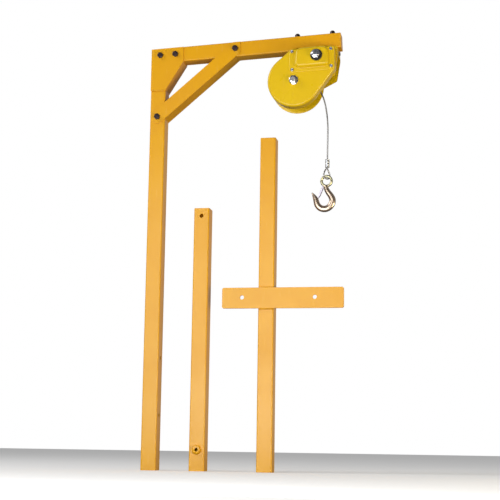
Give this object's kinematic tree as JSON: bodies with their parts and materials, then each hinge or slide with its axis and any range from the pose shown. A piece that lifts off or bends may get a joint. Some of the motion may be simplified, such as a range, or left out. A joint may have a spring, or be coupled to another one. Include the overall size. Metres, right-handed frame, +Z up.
{
  "type": "davit hoist kit",
  "caption": "Portable davit: square-tube mast with braced boom, geared brake winch, wire rope with latch hook, and a loose tube and cross piece.",
  "frame": {"origin": "middle of the mast tube's open foot, level with its lower edge, where the mast slips into or over what holds it", "axes": "+Z up along the mast, +X along the boom towards the winch, -Y towards the front faces with the bolt heads, the gear cover and the cross bar"},
  "size_m": [0.6539, 0.154, 1.4429],
  "materials": {
    "frame_paint": "gloss powder coat, golden yellow",
    "winch_paint": "gloss paint, lemon yellow",
    "black_steel": "blackened steel fasteners",
    "bright_chrome": "bright plated",
    "plain_steel": "turned and ground steel, lightly oiled",
    "bush_bronze": "sintered bronze",
    "black_rubber": "matte black",
    "friction_lining": "moulded friction lining",
    "wire_rope": "galvanised strands",
    "ferrule_alloy": "pressed aluminium",
    "hook_zinc": "forged steel, yellow zinc plated",
    "latch_steel": "pressed zinc plated sheet"
  },
  "bodies": {
    "davit": {"mast_tube": "frame_paint", "boom_tube": "frame_paint", "boom_end_cap": "frame_paint", "corner_gusset": "frame_paint", "diagonal_brace": "frame_paint", "frame_bolts": "black_steel", "frame_washers": "black_steel", "frame_nuts": "black_steel", "winch_bolts": "black_steel", "winch_washers": "black_steel", "winch_nuts": "black_steel", "winch_frame": "winch_paint", "frame_end_screw": "plain_steel", "gear_cover": "winch_paint", "cover_posts": "plain_steel", "brake_cap": "winch_paint", "cap_screws": "bright_chrome", "drum_axle": "plain_steel", "axle_washers": "bright_chrome", "axle_nuts": "bright_chrome", "drive_bushes": "bush_bronze", "drive_seal_ring": "black_rubber", "pawl_pin": "plain_steel", "pawl_spring": "plain_steel"},
    "drum": {"drum": "winch_paint", "drum_gear": "plain_steel", "drum_bushes": "bush_bronze", "rope_wound": "wire_rope"},
    "drive": {"drive_shaft": "plain_steel", "drive_pinion": "plain_steel", "friction_discs": "friction_lining", "ratchet_wheel": "plain_steel", "brake_hub": "plain_steel", "drive_nut": "bright_chrome", "drive_circlip": "plain_steel"},
    "pawl": {"pawl": "plain_steel"},
    "rope": {"rope_free": "wire_rope", "rope_ferrule": "ferrule_alloy", "rope_loop": "wire_rope"},
    "hook": {"hook": "hook_zinc", "latch_pin": "latch_steel", "latch_spring": "latch_steel"},
    "latch": {"hook_latch": "latch_steel"},
    "extension": {"extension_tube": "frame_paint", "weld_nut": "frame_paint"},
    "cross": {"cross_tube": "frame_paint", "cross_bar": "frame_paint", "cross_welds": "frame_paint"}
  },
  "joints": [
    {"name": "drum_spin", "type": "hinge", "parent": "davit", "child": "drum", "pos_m": [0.46836, 0, 1.2559], "axis": [0, 1, 0], "continuous": true},
    {"name": "drive_spin", "type": "hinge", "parent": "davit", "child": "drive", "pos_m": [0.54311, 0, 1.33385], "axis": [0, 1, 0], "continuous": true},
    {"name": "pawl_lift", "type": "hinge", "parent": "davit", "child": "pawl", "pos_m": [0.58915, -0.065, 1.33386], "axis": [0, -1, 0], "range_deg": [0, 18], "stiffness_Nm_per_rad": 0.05, "springref_deg": -17.19},
    {"name": "rope_swing", "type": "hinge", "parent": "davit", "child": "rope", "pos_m": [0.5246, -0.006, 1.2821], "axis": [0, -1, 0], "range_deg": [0, 20]},
    {"name": "hook_swing", "type": "hinge", "parent": "rope", "child": "hook", "pos_m": [0.568, -0.006, 0.941], "axis": [0, -1, 0], "range_deg": [-25, 25]},
    {"name": "latch_open", "type": "hinge", "parent": "hook", "child": "latch", "pos_m": [0.5565, -0.006, 0.914], "axis": [0, -1, 0], "range_deg": [0, 30], "stiffness_Nm_per_rad": 0.02, "springref_deg": -28.65},
    {"name": "extension_lift", "type": "slide", "parent": "davit", "child": "extension", "axis": [0, 0, 1], "range_m": [0, 0.3]},
    {"name": "cross_lift", "type": "slide", "parent": "davit", "child": "cross", "axis": [0, 0, 1], "range_m": [0, 0.1]}
  ],
  "couplings": [
    {"joint": "drive_spin", "follows": "drum_spin", "ratio": -3}
  ]
}
